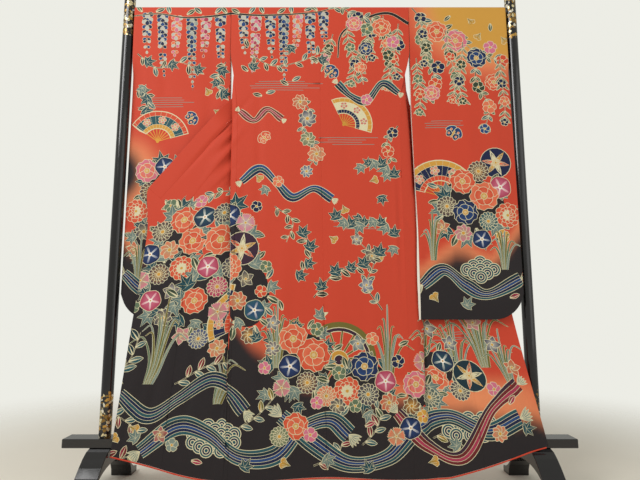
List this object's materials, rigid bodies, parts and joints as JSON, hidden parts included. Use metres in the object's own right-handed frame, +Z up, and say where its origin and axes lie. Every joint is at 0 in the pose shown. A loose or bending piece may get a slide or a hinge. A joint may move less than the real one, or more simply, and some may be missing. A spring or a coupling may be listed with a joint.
{
  "type": "furisode on a kimono stand",
  "caption": "Long-sleeved formal silk kimono hung open over the rod of a black lacquered kimono stand, its back to the viewer, with a wide baseboard and arched feet.",
  "frame": {"origin": "on the floor, midway between the two feet and below the rod", "axes": "+Z up, +X to the right as seen from the garment's back, +Y away from that viewer, towards the garment's front side"},
  "size_m": [1.6, 0.4, 1.7197],
  "materials": {
    "red_silk": "matte crepe silk, vermilion ground",
    "white_silk": "smooth white silk lining",
    "edge_red": "red silk hem edging",
    "black_lacquer": "black lacquered wood, gloss"
  },
  "bodies": {
    "root": {"back_left": "red_silk", "back_right": "red_silk", "front_left": "red_silk", "front_right": "red_silk", "okumi_left": "red_silk", "okumi_right": "red_silk", "collar": "red_silk", "sleeve_left": "red_silk", "sleeve_right": "red_silk", "sleeve_lining_left": "white_silk", "sleeve_lining_right": "white_silk", "hem_edging": "edge_red", "top_rod": "black_lacquer", "post_left": "black_lacquer", "post_right": "black_lacquer", "base_board": "black_lacquer", "foot_left": "black_lacquer", "foot_right": "black_lacquer"}
  },
  "joints": []
}
